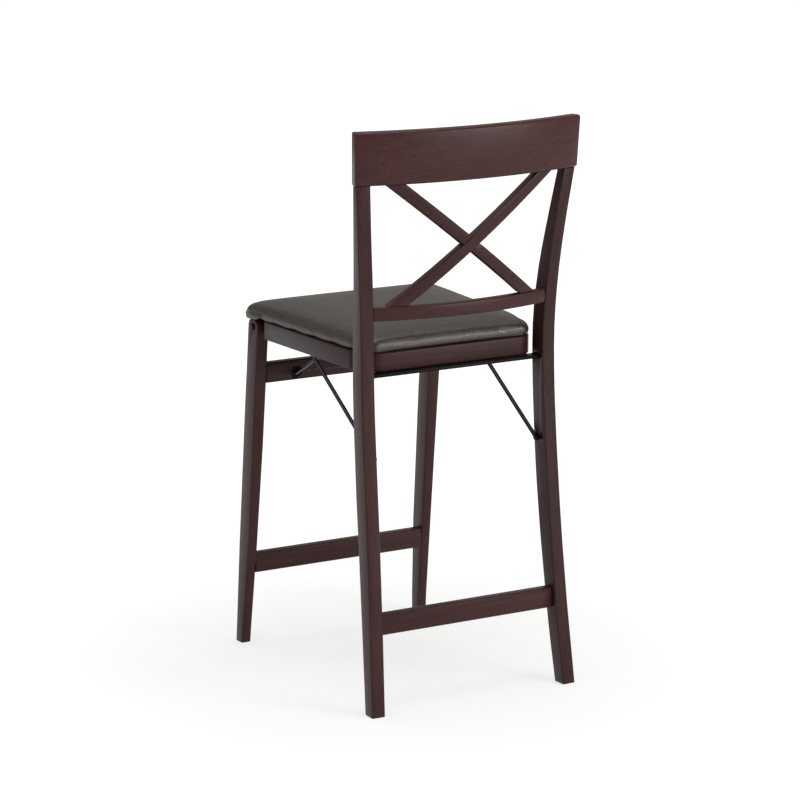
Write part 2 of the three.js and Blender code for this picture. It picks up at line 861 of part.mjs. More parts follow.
// The seat board in plan, drawn in from the cushion and notched over the leg tops.
function boardOutline(grow) {
  const inset = boardInset - grow;
  const notchHalf = hingeOuter - seam * 2 + grow;
  const notchY = legPivotY + legRecessBehind + legRecessMargin - grow;
  const half = [
    [notchHalf, cushionFrontY + inset], [notchHalf, notchY], [sideRailOuter(notchY) - inset, notchY],
    [sideRailRearHalf - inset, shoulderY - inset], [seatRearHalf - inset, shoulderY + shoulderRun - inset],
    [seatRearHalf - inset, seatRearY - cushionRearRound],
    [seatRearHalf - cushionRearRound, seatRearY - inset],
  ];
  return [...half, ...half.map(([x, y]) => [-x, y]).reverse()];
}

function buildSeatBoard() {
  addNode("seat_board", plank(boardOutline(0), cushionBottom, cushionBottom + boardThickness), plywood);
}

// A drawing in the side view, made a plate that is thick along X from its inner face.
function sidePlate(shape, thickness, x, segments) {
  const geometry = new THREE.ExtrudeGeometry(shape, {
    depth: thickness,
    bevelEnabled: false,
    curveSegments: segments,
  });
  geometry.applyMatrix4(new THREE.Matrix4().makeBasis(
    new THREE.Vector3(0, 1, 0),
    new THREE.Vector3(0, 0, 1),
    new THREE.Vector3(1, 0, 0),
  ));
  geometry.translate(x, 0, 0);
  return facingOut(mergeVertices(bareOf(geometry)));
}

// Braces: a bar with a round eye at each end and a hole for the wire link.
function buildBraces() {
  const half = braceWidth / 2;
  const eye = braceEyeWidth / 2;
  const meet = Math.sqrt(eye * eye - half * half);
  const turn = Math.atan2(half, meet);
  const shape = new THREE.Shape();
  shape.absarc(0, 0, eye, turn, 2 * Math.PI - turn, false);
  shape.lineTo(braceLength - meet, -half);
  shape.absarc(braceLength, 0, eye, Math.PI + turn, 3 * Math.PI - turn, false);
  shape.lineTo(meet, half);
  [0, braceLength].forEach((place) => {
    const hole = new THREE.Path();
    hole.absarc(place, 0, braceEyeHole / 2, 0, 2 * Math.PI, true);
    shape.holes.push(hole);
  });
  const bar = new THREE.ExtrudeGeometry(shape, {
    depth: braceThickness,
    bevelEnabled: false,
    curveSegments: roundSides / 2,
  });
  bar.applyMatrix4(new THREE.Matrix4().makeBasis(
    new THREE.Vector3(0, braceDirection.x, braceDirection.y),
    new THREE.Vector3(0, -braceDirection.y, braceDirection.x),
    new THREE.Vector3(1, 0, 0),
  ));
  bar.translate(braceInnerHalf, postPivot.x, postPivot.y);
  addPair("brace_bar", facingOut(mergeVertices(bareOf(bar))), blackSteel);
}

// A rivet through a brace eye: a head inside, a collar outside and a tip in the wood.
function rivet(faceX, y, z) {
  const headX = braceInnerHalf - seam;
  const collarX = braceOuterHalf + seam;
  return turnedAlongX(
    [
      [0, headX - rivetHeadThickness], [rivetHead / 3, headX - rivetHeadThickness],
      [rivetHead / 2, headX - rivetHeadThickness / 3], [rivetHead / 2, headX],
      [rivetShank / 2, headX], [rivetShank / 2, collarX], [rivetCollar / 2, collarX],
      [rivetCollar / 2, faceX - seam], [rivetShank / 2, faceX - seam],
      [rivetShank / 2, faceX + rivetTipLength], [0, faceX + rivetTipLength],
    ],
    y,
    z,
  );
}

function buildRivets() {
  addPair("brace_post_rivet", rivet(postFaceAtPivot(), postPivot.x, postPivot.y), blackSteel);
  const railFace = sideRailInner(seatPivot.x + rivetCollar / 2);
  addPair("brace_seat_rivet", rivet(railFace, seatPivot.x, seatPivot.y), blackSteel);
}

// The bolts that the front legs turn on, with their nuts inside the seat frame.
function buildLegBolts() {
  const face = legOuterHalf + seam;
  const nutX = hingeInner - seam;
  const tipX = nutX - nutThickness - overrun;
  const bolt = turnedAlongX(
    [
      [0, tipX], [boltShank / 2, tipX], [boltShank / 2, face], [boltHead / 2, face],
      [boltHead / 2, face + boltHeadThickness / 3], [boltHead / 3, face + boltHeadThickness],
      [0, face + boltHeadThickness],
    ],
    legPivotY,
    legPivotHeight,
  );
  addPair("leg_pivot_bolt", bolt, blackSteel);
  const corners = [];
  for (let k = 0; k < 6; k += 1) {
    const angle = (Math.PI / 3) * k;
    const reach = nutAcross / Math.sqrt(3);
    corners.push(new THREE.Vector2(
      legPivotY + reach * Math.cos(angle),
      legPivotHeight + reach * Math.sin(angle),
    ));
  }
  const shape = new THREE.Shape(corners);
  const bore = new THREE.Path();
  bore.absarc(legPivotY, legPivotHeight, (boltShank + boltPlay) / 2, 0, 2 * Math.PI, true);
  shape.holes.push(bore);
  addPair("leg_pivot_nut", sidePlate(shape, nutThickness, nutX - nutThickness, roundSides / 2), blackSteel);
}

// Link brackets: a screwed plate with one ear that stands out behind the front rail.
function buildBrackets() {
  const base = block(
    bracketHalf - bracketWidth / 2, bracketHalf + bracketWidth / 2,
    bracketFaceY, bracketFaceY + bracketPlate,
    linkPivotZ - bracketHeight / 2, linkPivotZ + bracketHeight / 2,
  );
  const r = bracketEarRadius;
  const rootY = bracketFaceY + bracketPlate / 2;
  const shape = new THREE.Shape();
  shape.moveTo(rootY, linkPivotZ - bracketHeight / 2);
  shape.lineTo(linkPivotY, linkPivotZ - r);
  shape.absarc(linkPivotY, linkPivotZ, r, -Math.PI / 2, Math.PI / 2, false);
  shape.lineTo(rootY, linkPivotZ + bracketHeight / 2);
  const ear = sidePlate(shape, bracketEar, bracketHalf - bracketEar / 2, roundSides / 2);
  const pinHole = rodAlongX(
    linkWire / 2 + seam,
    bracketHalf - bracketEar,
    bracketHalf + bracketEar,
    linkPivotY,
    linkPivotZ,
  );
  const screwHoles = screwPlaces.map(({ x, z }) => rodAlongY(
    screwShank / 2 + seam,
    bracketFaceY - overrun,
    bracketFaceY + bracketPlate + overrun,
    x,
    z,
  ));
  addPair("link_bracket", cut(join(base, ear), pinHole, ...screwHoles), blackSteel);
  screwPlaces.forEach(({ name, x, z }) => {
    const headY = bracketFaceY + bracketPlate + seam;
    const tipY = bracketFaceY - screwLength + seam;
    const screw = turnedAlongY(
      [
        [0, tipY], [screwShank / 2, tipY + screwShank / 2], [screwShank / 2, headY],
        [screwHead / 2, headY], [screwHead / 3, headY + screwHeadThickness],
        [0, headY + screwHeadThickness],
      ],
      x,
      z,
    );
    addPair(`bracket_screw_${name}`, screw, blackSteel);
  });
}

// Wire links: a pin in the bracket ear, a slanted run and a tip that points at the brace.
function buildLinks() {
  const far = braceInnerHalf - 2 * seam;
  const earSide = bracketHalf + bracketEar / 2;
  const points = [
    new THREE.Vector3(bracketHalf - bracketEar / 2 - linkTail, linkPivotY, linkPivotZ),
    new THREE.Vector3(earSide + linkBend, linkPivotY, linkPivotZ),
    new THREE.Vector3(far - linkBend, linkEye.x, linkEye.y),
    new THREE.Vector3(far, linkEye.x, linkEye.y),
  ];
  const first = bendPoints(points[0], points[1], points[2]);
  const second = bendPoints(points[1], points[2], points[3]);
  const path = new THREE.CurvePath();
  path.add(new THREE.LineCurve3(points[0], first[0]));
  path.add(new THREE.QuadraticBezierCurve3(first[0], points[1], first[1]));
  path.add(new THREE.LineCurve3(first[1], second[0]));
  path.add(new THREE.QuadraticBezierCurve3(second[0], points[2], second[1]));
  path.add(new THREE.LineCurve3(second[1], points[3]));
  const section = new THREE.Shape();
  section.absarc(0, 0, linkWire / 2, 0, 2 * Math.PI, false);
  const wire = new THREE.ExtrudeGeometry(section, {
    steps: linkSteps,
    extrudePath: path,
    curveSegments: roundSides / 4,
  });
  addPair("wire_link", facingOut(mergeVertices(bareOf(wire))), blackSteel);
}

// The two points where a bend of the wire starts and ends.
function bendPoints(before, corner, after) {
  const back = before.clone().sub(corner);
  const onward = after.clone().sub(corner);
  const reach = linkBend / 2;
  return [
    corner.clone().add(back.setLength(reach)),
    corner.clone().add(onward.setLength(reach)),
  ];
}

buildRearPosts();
buildBack();
buildSlats();
buildRearStretcher();
buildStopBar();
buildFrontLegs();
buildFrontRails();
buildSeatFrame();
buildSeatBoard();
buildCushion();
buildBraces();
buildRivets();
buildLegBolts();
buildBrackets();
buildLinks();

export default root;
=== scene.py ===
# Folding bar stool: dark stained wood, a padded vinyl seat and black steel fittings.
import json
import math

import bmesh
import bpy
from mathutils import Matrix, Vector


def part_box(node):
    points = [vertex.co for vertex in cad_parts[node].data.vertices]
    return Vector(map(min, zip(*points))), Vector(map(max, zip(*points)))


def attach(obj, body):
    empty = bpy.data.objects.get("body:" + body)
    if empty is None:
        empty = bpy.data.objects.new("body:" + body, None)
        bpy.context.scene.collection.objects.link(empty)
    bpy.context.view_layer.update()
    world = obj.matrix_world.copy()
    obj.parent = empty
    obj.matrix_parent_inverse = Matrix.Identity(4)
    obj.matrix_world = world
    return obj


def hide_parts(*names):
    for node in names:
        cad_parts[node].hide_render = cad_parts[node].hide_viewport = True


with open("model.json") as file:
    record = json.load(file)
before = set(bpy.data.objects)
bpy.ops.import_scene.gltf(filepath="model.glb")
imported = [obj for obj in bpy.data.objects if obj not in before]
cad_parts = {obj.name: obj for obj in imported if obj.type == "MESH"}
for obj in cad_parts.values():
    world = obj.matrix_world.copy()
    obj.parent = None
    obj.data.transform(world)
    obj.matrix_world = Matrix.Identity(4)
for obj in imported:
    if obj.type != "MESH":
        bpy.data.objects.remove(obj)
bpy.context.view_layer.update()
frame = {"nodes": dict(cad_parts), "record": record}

MM = 0.001
SIDES = ("left", "right")

body_of = {
    node: body
    for body, members in frame["record"]["behaviour"]["bodies"].items()
    for node in members
}

BLACK = (0, 0, 0, 1)
WHITE = (1, 1, 1, 1)
# Places of the sockets of a Mix node that mixes colours
MIX_FACTOR = 0
MIX_FIRST = 6
MIX_SECOND = 7
MIX_RESULT = 2


# Materials
class Value:
    """A socket. Its operators add Math nodes."""

    def __init__(self, nodes, socket):
        self.nodes = nodes
        self.socket = socket

    def _math(self, operation, *inputs):
        return self.nodes.add("ShaderNodeMath", {"operation": operation}, dict(enumerate(inputs)))

    def __add__(self, other):
        return self._math("ADD", self, other)

    def __radd__(self, other):
        return self._math("ADD", other, self)

    def __sub__(self, other):
        return self._math("SUBTRACT", self, other)

    def __rsub__(self, other):
        return self._math("SUBTRACT", other, self)

    def __mul__(self, other):
        return self._math("MULTIPLY", self, other)

    def __rmul__(self, other):
        return self._math("MULTIPLY", other, self)

    def either(self, other):
        return self._math("MAXIMUM", self, other)


class Nodes:
    """The nodes of a material or of the world."""

    def __init__(self, owner):
        owner.use_nodes = True
        self.tree = owner.node_tree
        self.tree.nodes.clear()

    def add(self, kind, settings=None, sockets=None, output=0):
        node = self.tree.nodes.new(kind)
        for key, value in (settings or {}).items():
            if key == "stops":
                self._stops(node.color_ramp, value)
            else:
                setattr(node, key, value)
        for key, value in (sockets or {}).items():
            if isinstance(value, Value):
                self.tree.links.new(value.socket, node.inputs[key])
            else:
                node.inputs[key].default_value = value
        return Value(self, node.outputs[output])

    def _stops(self, ramp, stops):
        while len(ramp.elements) < len(stops):
            ramp.elements.new(0.5)
        for element, (place, colour) in zip(ramp.elements, stops):
            element.position = place
            element.color = colour

    def ramp(self, factor, stops):
        return self.add("ShaderNodeValToRGB", {"stops": stops}, {"Fac": factor})

    def grey_ramp(self, factor, low, high):
        return self.ramp(factor, [(low, BLACK), (high, WHITE)])

    def mix(self, factor, first, second):
        colours = {MIX_FACTOR: factor, MIX_FIRST: first, MIX_SECOND: second}
        return self.add("ShaderNodeMix", {"data_type": "RGBA"}, colours, MIX_RESULT)

    def place(self, turn=(0, 0, 0), offset=(0, 0, 0)):
        here = self.add("ShaderNodeTexCoord", output="Object")
        return self.add("ShaderNodeMapping", {}, {"Vector": here, "Location": offset, "Rotation": turn})

    def stretch(self, vector, scale):
        return self.add("ShaderNodeMapping", {}, {"Vector": vector, "Scale": scale})

    def noise(self, vector, scale, detail=4.0, roughness=0.5, distortion=0.0):
        return self.add("ShaderNodeTexNoise", {}, {
            "Vector": vector, "Scale": scale, "Detail": detail,
            "Roughness": roughness, "Distortion": distortion,
        })

    def cells(self, vector, scale, feature):
        return self.add("ShaderNodeTexVoronoi", {"feature": feature}, {
            "Vector": vector, "Scale": scale, "Randomness": 0.9,
        })

    def bump(self, height, strength, distance):
        sockets = {"Strength": strength, "Distance": distance, "Height": height}
        return self.add("ShaderNodeBump", {}, sockets)

    def ray(self, name):
        return self.add("ShaderNodeLightPath", output=name)

    def blend(self, factor, first, second):
        return self.add("ShaderNodeMixShader", {}, {0: factor, 1: first, 2: second})

    def finish(self, shader, kind="ShaderNodeOutputMaterial"):
        output = self.tree.nodes.new(kind)
        self.tree.links.new(shader.socket, output.inputs["Surface"])


class Finish(Nodes):
    """A material and its nodes."""

    def __init__(self, name):
        self.material = bpy.data.materials.new(name)
        super().__init__(self.material)

    def surface(self, **sockets):
        named = {key.replace("_", " "): value for key, value in sockets.items()}
        self.finish(self.add("ShaderNodeBsdfPrincipled", {}, named))
        return self.material


def toned(colour, lightness):
    return tuple(part * lightness for part in colour) + (1,)


def stained_wood(name, turn, lightness, seed):
    """Dark red-brown stain under satin lacquer, with fine pores along the grain."""
    w = Finish(name)
    plank = w.place(turn, (seed, seed * 2, seed * 3))
    grain = w.stretch(plank, (1, 1, 0.06))
    pores = w.stretch(plank, (1, 1, 0.022))
    bands = w.noise(grain, scale=75.0, detail=3.0, roughness=0.55, distortion=0.5)
    fibres = w.noise(pores, scale=480.0, roughness=0.65)
    flecks = w.noise(pores, scale=1150.0, detail=2.0)
    cloud = w.noise(w.place(offset=(seed, 0, seed)), scale=5.5, detail=2.0)
    # The lightness scales these colours, and on some pieces it paints shade
    dark = toned((0.0190, 0.0066, 0.0064), lightness)
    middle = toned((0.0435, 0.0138, 0.0133), lightness)
    light = toned((0.071, 0.0245, 0.0226), lightness)
    stain_and_painted_shade = w.ramp(bands * 0.36 + fibres * 0.64, [(0.3, dark), (0.52, middle), (0.74, light)])
    pore_mask = w.grey_ramp(flecks, low=0.56, high=0.68)
    stained = w.mix(pore_mask * 0.55, stain_and_painted_shade, dark)
    clouded = w.mix(w.grey_ramp(cloud, low=0.35, high=0.7) * 0.35, stained, middle)
    relief = fibres * 0.6 + (1 - pore_mask) * 0.5 + bands * 0.4
    return w.surface(
        Base_Color=clouded,
        Roughness=0.30 + fibres * 0.12 + pore_mask * 0.12,
        Normal=w.bump(relief, strength=0.16, distance=0.4 * MM),
        Coat_Weight=0.07,
        Coat_Roughness=0.2,
        Specular_IOR_Level=0.17,
    )


def pebbled_vinyl(name):
    """Dark brown-black vinyl with a small leather grain."""
    v = Finish(name)
    spot = v.place()
    cells = v.cells(spot, scale=430.0, feature="F1")
    edges = v.cells(spot, scale=430.0, feature="DISTANCE_TO_EDGE")
    soft = v.noise(spot, scale=60.0, detail=3.0)
    fine = v.noise(spot, scale=1500.0, detail=2.0)
    cloud = v.noise(spot, scale=7.0, detail=2.0)
    valley = v.grey_ramp(edges, low=0.02, high=0.22)
    pebble = valley * 0.75 + fine * 0.15 + (1 - cells) * 0.15
    low = (0.0092, 0.0061, 0.0046, 1)
    high = (0.027, 0.0176, 0.0130, 1)
    rubbed = (0.029, 0.0192, 0.0145, 1)
    # The tone is darker in the grooves and toward the edges of the pebbles: painted shade in the grain
    tone = v.ramp(pebble * 0.6 + soft * 0.4, [(0.2, low), (0.75, high)])
    return v.surface(
        Base_Color=v.mix(v.grey_ramp(cloud, low=0.45, high=0.7) * 0.25, tone, rubbed),
        Roughness=0.24 + soft * 0.08 + (1 - valley) * 0.14,
        Normal=v.bump(pebble, strength=0.36, distance=0.6 * MM),
        Specular_IOR_Level=0.76,
        Specular_Tint=(1.0, 0.93, 0.88, 1),
    )


def black_metal(name, shine):
    """A satin black finish on steel, slightly rubbed."""
    m = Finish(name)
    spot = m.place()
    speckle = m.noise(spot, scale=900.0, detail=3.0)
    rubbed = m.noise(spot, scale=45.0, roughness=0.6)
    mask = m.grey_ramp(rubbed, low=0.62, high=0.8)
    black = (0.0016, 0.0016, 0.0018, 1)
    grey = (0.006, 0.006, 0.0065, 1)
    return m.surface(
        Base_Color=m.mix(mask * 0.5, black, grey),
        Roughness=shine + speckle * 0.12 - mask * 0.06,
        Normal=m.bump(speckle, strength=0.08, distance=0.3 * MM),
        Specular_IOR_Level=0.13,
    )


def plain_board(name):
    """Thin plywood under the seat, stained dark, with broad grain."""
    p = Finish(name)
    sheet = p.place()
    figure = p.noise(p.stretch(sheet, (1, 0.08, 1)), scale=38.0, roughness=0.6, distortion=0.8)
    lines = p.noise(p.stretch(sheet, (1, 0.03, 1)), scale=300.0, detail=2.0)
    dark = (0.018, 0.010, 0.008, 1)
    middle = (0.036, 0.020, 0.016, 1)
    light = (0.055, 0.032, 0.024, 1)
    return p.surface(
        Base_Color=p.ramp(figure * 0.6 + lines * 0.4, [(0.3, dark), (0.55, middle), (0.75, light)]),
        Roughness=0.55 + lines * 0.2,
        Normal=p.bump(lines, strength=0.2, distance=0.4 * MM),
    )


# Meshes. Sizes are in millimetres and angles in degrees.
MERGE_WITHIN = 0.02
FLAT_WITHIN = 0.6
EASE_SEGMENTS = 2
WOOD_CORNER = 28
WOOD_SMOOTH = 32
STEEL_CORNER = 34
STEEL_SMOOTH = 38
VINYL_SMOOTH = 60


def only(obj):
    """Deselects everything else and makes obj the active object."""
    if bpy.context.object and bpy.context.object.mode != "OBJECT":
        bpy.ops.object.mode_set(mode="OBJECT")
    bpy.ops.object.select_all(action="DESELECT")
    obj.select_set(True)
    bpy.context.view_layer.objects.active = obj


def apply_modifiers(obj):
    only(obj)
    for modifier in list(obj.modifiers):
        bpy.ops.object.modifier_apply(modifier=modifier.name)


def work(obj, name, kind, **settings):
    """Gives obj one modifier with these settings and applies it."""
    modifier = obj.modifiers.new(name, kind)
    for key, value in settings.items():
        setattr(modifier, key, value)
    apply_modifiers(obj)


def copy_of(node):
    """A free copy of a CAD node's mesh, its doubles merged and its flat triangles joined."""
    mesh = frame["nodes"][node].data.copy()
    mesh.name = "finished_" + node
    obj = bpy.data.objects.new(mesh.name, mesh)
    bpy.context.scene.collection.objects.link(obj)
    shape = bmesh.new()
    shape.from_mesh(mesh)
    bmesh.ops.remove_doubles(shape, verts=shape.verts, dist=MERGE_WITHIN * MM)
    bmesh.ops.dissolve_limit(
        shape, angle_limit=math.radians(FLAT_WITHIN), verts=shape.verts, edges=shape.edges,
        delimit={"NORMAL"},
    )
    shape.to_mesh(mesh)
    shape.free()
    return obj


def eased(node, ease, corner=WOOD_CORNER):
    """A copy of a node with softened edges."""
    piece = copy_of(node)
    work(
        piece, "eased edges", "BEVEL", width=ease * MM, segments=EASE_SEGMENTS,
        limit_method="ANGLE", angle_limit=math.radians(corner), miter_outer="MITER_ARC",
    )
    return piece


def stand_in(piece, node, material, smooth=WOOD_SMOOTH):
    """Gives a finished piece its look and its body, and hides the CAD node that it stands for."""
    piece.data.materials.clear()
    piece.data.materials.append(material)
    only(piece)
    bpy.ops.object.shade_smooth_by_angle(angle=math.radians(smooth))
    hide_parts(node)
    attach(piece, body_of[node])


# Wooden pieces, by the direction that their grain runs in
WOODEN = {
    "height": ["rear_post_left", "rear_post_right", "front_leg_left", "front_leg_right"],
    "width": [
        "crest_rail", "lower_back_rail", "rear_stretcher", "front_cross_rail", "footrest_rail",
        "seat_front_rail", "seat_rear_rail",
    ],
    "depth": [
        "seat_side_rail_left", "seat_side_rail_right", "leg_hinge_block_left", "leg_hinge_block_right",
        "seat_corner_block_left", "seat_corner_block_right",
    ],
}
# The turn that lays the grain along each of those directions
GRAIN_ALONG = {
    "height": (0, 0, 0),
    "width": (0, math.radians(90), 0),
    "depth": (math.radians(90), 0, 0),
}
EDGE_EASE = {"crest_rail": 1.6, "lower_back_rail": 1.0, "rear_post_left": 0.9, "rear_post_right": 0.9}
PLAIN_EASE = 0.8
BOARD_EASE = 0.5
# How much lighter or darker each piece is drawn: painted shade darkens the right rear post and the seat
# side rails, and the crest, lower back rail and rear stretcher are drawn lighter
PIECE_TONE_AND_PAINTED_SHADE = {
    "crest_rail": 1.28, "lower_back_rail": 1.12, "rear_stretcher": 1.1, "rear_post_right": 0.82,
    "seat_side_rail_left": 0.66, "seat_side_rail_right": 0.66,
}
PLAIN_STAIN = 1.0
SEED_STEP = 0.37
SLAT_SEED = {"back_slat_rear": 6.2, "back_slat_front": 6.51}
CREST_BACK = 2.5
CREST_ENDS_BACK = 3.0


def set_crest_back(piece):
    """Sets the crest back, its ends the most, until they are flush with the posts."""
    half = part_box("crest_rail")[1].x
    for vertex in piece.data.vertices:
        share = min(abs(vertex.co.x) / half, 1)
        vertex.co.y += (CREST_BACK + CREST_ENDS_BACK * share ** 2) * MM


def make_wood():
    seed = 0.0
    for along, names in WOODEN.items():
        for node in names:
            seed += SEED_STEP
            # This lightness paints shade onto the right rear post and the seat side rails
            stain_and_painted_shade = PIECE_TONE_AND_PAINTED_SHADE.get(node, PLAIN_STAIN)
            material = stained_wood("stained_wood_" + node, GRAIN_ALONG[along], stain_and_painted_shade, seed)
            piece = eased(node, EDGE_EASE.get(node, PLAIN_EASE))
            if node == "crest_rail":
                set_crest_back(piece)
            stand_in(piece, node, material)


def slat_turn(node):
    """The turn about Y that lays the grain along a slat of the cross."""
    vertices = [v.co for v in frame["nodes"][node].data.vertices]
    low = min(v.z for v in vertices)
    high = max(v.z for v in vertices)
    foot = [v.x for v in vertices if v.z < low + MM]
    head = [v.x for v in vertices if v.z > high - MM]
    run = sum(head) / len(head) - sum(foot) / len(foot)
    return (0, math.atan2(-run, high - low), 0)


def make_slats():
    for node, seed in SLAT_SEED.items():
        material = stained_wood("stained_wood_" + node, slat_turn(node), PLAIN_STAIN, seed)
        stand_in(eased(node, PLAIN_EASE), node, material)


def make_board():
    board = plain_board("plywood_board")
    stand_in(eased("seat_board", BOARD_EASE), "seat_board", board)


# Steel pieces: bars, rods, rivets, bolts, nuts, brackets and screws
STEEL_EASE = {
    "seat_stop_bar": 0.8, "brace_bar": 0.5, "brace_post_rivet": 0.25, "brace_seat_rivet": 0.25,
    "leg_pivot_bolt": 0.4, "leg_pivot_nut": 0.4, "link_bracket": 0.3, "wire_link": 0.3,
    "bracket_screw_outer": 0.15, "bracket_screw_inner": 0.15,
}
ZINC_WORDS = ("rivet", "bolt", "screw")
ENAMEL_SHINE = 0.34
ZINC_SHINE = 0.28


def make_steel():
    enamel = black_metal("black_enamel", ENAMEL_SHINE)
    zinc = black_metal("black_zinc", ZINC_SHINE)
    for kind, ease in STEEL_EASE.items():
        finish = zinc if any(word in kind for word in ZINC_WORDS) else enamel
        nodes = [kind] if kind in body_of else [f"{kind}_{side}" for side in SIDES]
        for node in nodes:
            stand_in(eased(node, ease, STEEL_CORNER), node, finish, STEEL_SMOOTH)


# Seat cushion: its skin, and the pressure that swells it from a slightly smaller form
VOXEL = 4.0
LEVEL_WITHIN = 0.05
POCKET_DEPTH = 6.3
RECESS_DEPTH = 3.8
CUSHION_SWELL = 4.0
PRESSURE = 5.0
SKIN_SHRINK = -0.03
SKIN_STIFFNESS = 18
STEPS_PER_FRAME = 6
SWELL_FRAMES = 20
SMOOTHING_ROUNDS = 5
# The room that it keeps to: above its board, beside the rear posts and over the leg tops
SEAT_LIFT = 0.35
HEM = 2.6
TOP_ROOM = 0.8
SIDE_ROOM = 1.5
POST_GAP = 1.2
POST_REACH = 34.0
LEG_GAP = 1.5
LEG_RECESS = 4.2
RECESS_BEHIND = 12.0
# Its crown, and the lip that hangs outside the tops of the front legs
EDGE_SHARE = 0.88
CROWN_SHARE = 0.09
CROWN_POWER = 4
OVERHANG = 3.6
LIP_CLEAR = 0.6
LIP_BEHIND = 8.0
LIP_RISE = 9.0
LIP_REACH = 3.0
LIP_OUT = 2.0
LIP_DROP = 2.6
# The underside: how near to its level a point belongs to it, and the share of faces that is kept
UNDER_RISE = 0.1
UNDER_WITHIN = 0.2
KEPT_SHARE = 0.85


def cushion_blank():
    """The cushion's outer form in an even skin, with the pocket and leg recesses under it closed."""
    piece = copy_of("seat_cushion")
    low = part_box("seat_cushion")[0].z
    for vertex in piece.data.vertices:
        rise = (vertex.co.z - low) / MM
        if min(abs(rise - POCKET_DEPTH), abs(rise - RECESS_DEPTH)) < LEVEL_WITHIN:
            vertex.co.z = low
    work(piece, "even skin", "REMESH", mode="VOXEL", voxel_size=VOXEL * MM)
    return piece


def swell_cushion(piece):
    """Swells the skin under pressure. No point moves further than CUSHION_SWELL."""
    before = [v.co.copy() for v in piece.data.vertices]
    stuffing = piece.modifiers.new("stuffing", "CLOTH")
    stuffing.settings.use_pressure = True
    stuffing.settings.uniform_pressure_force = PRESSURE
    stuffing.settings.shrink_min = SKIN_SHRINK
    stuffing.settings.effector_weights.gravity = 0
    stuffing.settings.quality = STEPS_PER_FRAME
    stuffing.settings.tension_stiffness = SKIN_STIFFNESS
    stuffing.settings.compression_stiffness = SKIN_STIFFNESS
    stuffing.point_cache.frame_start = 1
    stuffing.point_cache.frame_end = SWELL_FRAMES
    scene = bpy.context.scene
    for step in range(1, SWELL_FRAMES + 1):
        scene.frame_set(step)
    apply_modifiers(piece)
    scene.frame_set(1)
    for vertex, start in zip(piece.data.vertices, before):
        move = vertex.co - start
        if move.length > CUSHION_SWELL * MM:
            vertex.co = start + move.normalized() * CUSHION_SWELL * MM


def hold_cushion(piece, low, high):
    """Keeps the swollen cushion on its board, off the rear posts and inside its own room."""
    post_inner = min(abs(c.x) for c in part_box("rear_post_left")) - POST_GAP * MM
    post_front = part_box("seat_stop_bar")[0].y - POST_REACH * MM
    leg_low, leg_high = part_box("front_leg_left")
    leg_in = leg_low.x - LEG_GAP * MM
    leg_out = high.x - OVERHANG * MM + LIP_CLEAR * MM
    leg_rear = leg_high.y + RECESS_BEHIND * MM
    for vertex in piece.data.vertices:
        p = vertex.co
        over_leg = leg_in < abs(p.x) < leg_out and p.y < leg_rear
        floor = low.z + (LEG_RECESS if over_leg else SEAT_LIFT) * MM
        if p.z < floor + HEM * MM:
            p.z = floor
        p.z = min(p.z, high.z + TOP_ROOM * MM)
        limit = high.x + SIDE_ROOM * MM if p.y < post_front else post_inner
        p.x = min(max(p.x, -limit), limit)
        p.y = min(max(p.y, low.y - SIDE_ROOM * MM), high.y + TOP_ROOM * MM)


def crown_cushion(piece, low, high):
    """Draws the cushion's top down toward its edges."""
    middle = (low + high) / 2
    half = (high - low) / 2
    for vertex in piece.data.vertices:
        p = vertex.co
        across = min(abs(p.x / half.x), 1)
        along = min(abs((p.y - middle.y) / half.y), 1)
        crown = (1 - across ** CROWN_POWER) * (1 - along ** CROWN_POWER)
        p.z = low.z + (p.z - low.z) * (EDGE_SHARE + CROWN_SHARE * crown)


def hang_lip(piece, low, high):
    """Hangs the cushion's hem down outside the tops of the front legs."""
    leg_out = high.x - OVERHANG * MM
    leg_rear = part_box("front_leg_left")[1].y + LIP_BEHIND * MM
    for vertex in piece.data.vertices:
        p = vertex.co
        out = (abs(p.x) - leg_out) / MM
        rise = (p.z - low.z) / MM
        if p.y > leg_rear or out < -LIP_REACH - VOXEL or rise > LIP_RISE:
            continue
        if out < -LIP_REACH:
            p.x = math.copysign(leg_out + LIP_CLEAR * MM, p.x)
            p.z = low.z + LEG_RECESS * MM
        elif rise < LIP_RISE / 2:
            p.x = math.copysign(leg_out + LIP_OUT * MM, p.x)
            p.z = low.z - LIP_DROP * MM
        else:
            p.x = math.copysign(max(abs(p.x), leg_out + (LIP_OUT + LIP_CLEAR) * MM), p.x)


def thin_underside(piece, low):
    """Thins the flat underside, which lies hidden on the board."""
    level = low.z + (SEAT_LIFT + UNDER_RISE) * MM
    flat = [v.index for v in piece.data.vertices if abs(v.co.z - level) < UNDER_WITHIN * MM]
    hidden = piece.vertex_groups.new(name="underside")
    hidden.add(flat, 1.0, "REPLACE")
    work(piece, "thinned underside", "DECIMATE", ratio=KEPT_SHARE, vertex_group=hidden.name)


def make_cushion():
    low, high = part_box("seat_cushion")
    piece = cushion_blank()
    swell_cushion(piece)
    hold_cushion(piece, low, high)
    work(piece, "soft skin", "SMOOTH", factor=0.5, iterations=SMOOTHING_ROUNDS)
    crown_cushion(piece, low, high)
    hold_cushion(piece, low, high)
    hang_lip(piece, low, high)
    work(piece, "fine skin", "SUBSURF", levels=1, render_levels=1)
    thin_underside(piece, low)
    stand_in(piece, "seat_cushion", pebbled_vinyl("pebbled_vinyl"), VINYL_SMOOTH)


# Floor, in metres: from FADE_FROM to FADE_TO its white takes over
FLOOR_SIZE = 14.0
FLOOR_DROP = 0.6 * MM
FLOOR_MATT = (0.82, 0.82, 0.82, 1)
FLOOR_GLOW = 1.15
FLOOR_WHITE = 0.6
FADE_FROM = 0.5
FADE_TO = 1.4
FADE_SPAN = 2.0


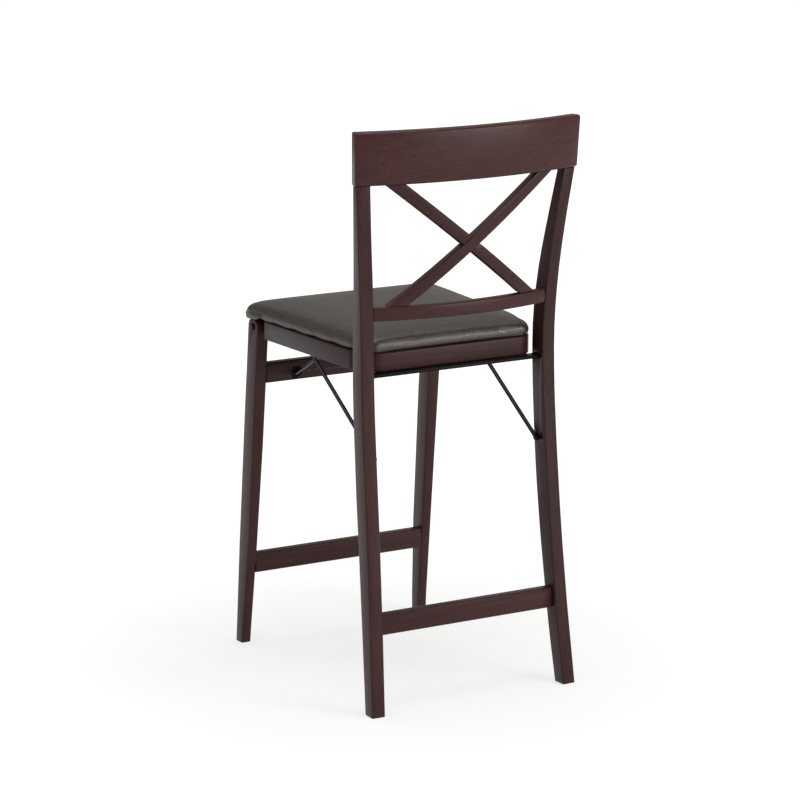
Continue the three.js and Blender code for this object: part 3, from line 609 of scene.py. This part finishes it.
def make_floor():
    bpy.ops.mesh.primitive_plane_add(size=FLOOR_SIZE, location=(0, 0, -FLOOR_DROP))
    floor = bpy.context.object
    floor.name = "studio_floor"
    f = Finish("studio_floor_white")
    seen = f.ray("Is Camera Ray").either(f.ray("Is Glossy Ray"))
    radius = f.add("ShaderNodeVectorMath", {"operation": "LENGTH"}, {"Vector": f.place()}, "Value")
    far = f.grey_ramp(radius * (1 / FADE_SPAN), FADE_FROM / FADE_SPAN, FADE_TO / FADE_SPAN)
    share = FLOOR_WHITE + far * (1 - FLOOR_WHITE)
    matt = f.add("ShaderNodeBsdfDiffuse", {}, {"Color": FLOOR_MATT})
    white = f.add("ShaderNodeEmission", {}, {"Color": WHITE, "Strength": FLOOR_GLOW})
    f.finish(f.blend(seen * share, matt, white))
    floor.data.materials.append(f.material)


# Surround and lamps
ROOM_COLOUR = (1.0, 0.985, 0.965, 1)
ROOM_LIGHT = 0.43


def make_world():
    """A plain room for light, and white where the camera looks past the floor."""
    world = bpy.data.worlds.new("studio_surround")
    bpy.context.scene.world = world
    w = Nodes(world)
    seen = w.ray("Is Camera Ray").either(w.ray("Is Transmission Ray"))
    room = w.add("ShaderNodeBackground", {}, {"Color": ROOM_COLOUR, "Strength": ROOM_LIGHT})
    white = w.add("ShaderNodeBackground", {}, {"Color": WHITE, "Strength": 1.0})
    w.finish(w.blend(seen, room, white), "ShaderNodeOutputWorld")


def add_lamp(name, place, aim, size, power):
    data = bpy.data.lights.new(name, "AREA")
    data.shape = "RECTANGLE"
    data.size, data.size_y = size
    data.energy = power
    lamp = bpy.data.objects.new(name, data)
    bpy.context.scene.collection.objects.link(lamp)
    lamp.location = place
    lamp.rotation_euler = (Vector(aim) - Vector(place)).to_track_quat("-Z", "Y").to_euler()


def make_lamps():
    middle = (0, 0, 0.6)
    add_lamp("key_lamp", place=(-2.5, 4.3, 1.55), aim=(0, 0, 0.7), size=(2.2, 0.9), power=116)
    add_lamp("top_lamp", place=(0.1, 0.3, 4.2), aim=middle, size=(3.0, 3.0), power=82)
    add_lamp("side_lamp", place=(4.2, 0.6, 1.8), aim=middle, size=(2.2, 2.8), power=6)


# Camera: its place and sight in metres, its three axes, and its lens and sensor in millimetres
CAMERA_PLACE = (3.1453, 5.4666, 1.9801)
CAMERA_RIGHT = (-0.8667, 0.4988, 0.0)
CAMERA_UP = (-0.1121, -0.1948, 0.9744)
CAMERA_BACK = (0.4860, 0.8450, 0.2247)
CAMERA_LENS = 151.0
CAMERA_SIGHT = 60
SENSOR = 36.0


def make_camera():
    data = bpy.data.cameras.new("photo_camera")
    data.lens = CAMERA_LENS
    data.sensor_width = SENSOR
    data.sensor_height = SENSOR
    data.clip_end = CAMERA_SIGHT
    camera = bpy.data.objects.new("photo_camera", data)
    bpy.context.scene.collection.objects.link(camera)
    turn = Matrix((CAMERA_RIGHT, CAMERA_UP, CAMERA_BACK)).transposed().to_4x4()
    camera.matrix_world = Matrix.Translation(CAMERA_PLACE) @ turn
    bpy.context.scene.camera = camera


make_camera()
make_wood()
make_slats()
make_steel()
make_board()
make_cushion()
make_floor()
make_world()
make_lamps()
bpy.context.scene.view_settings.view_transform = "Standard"
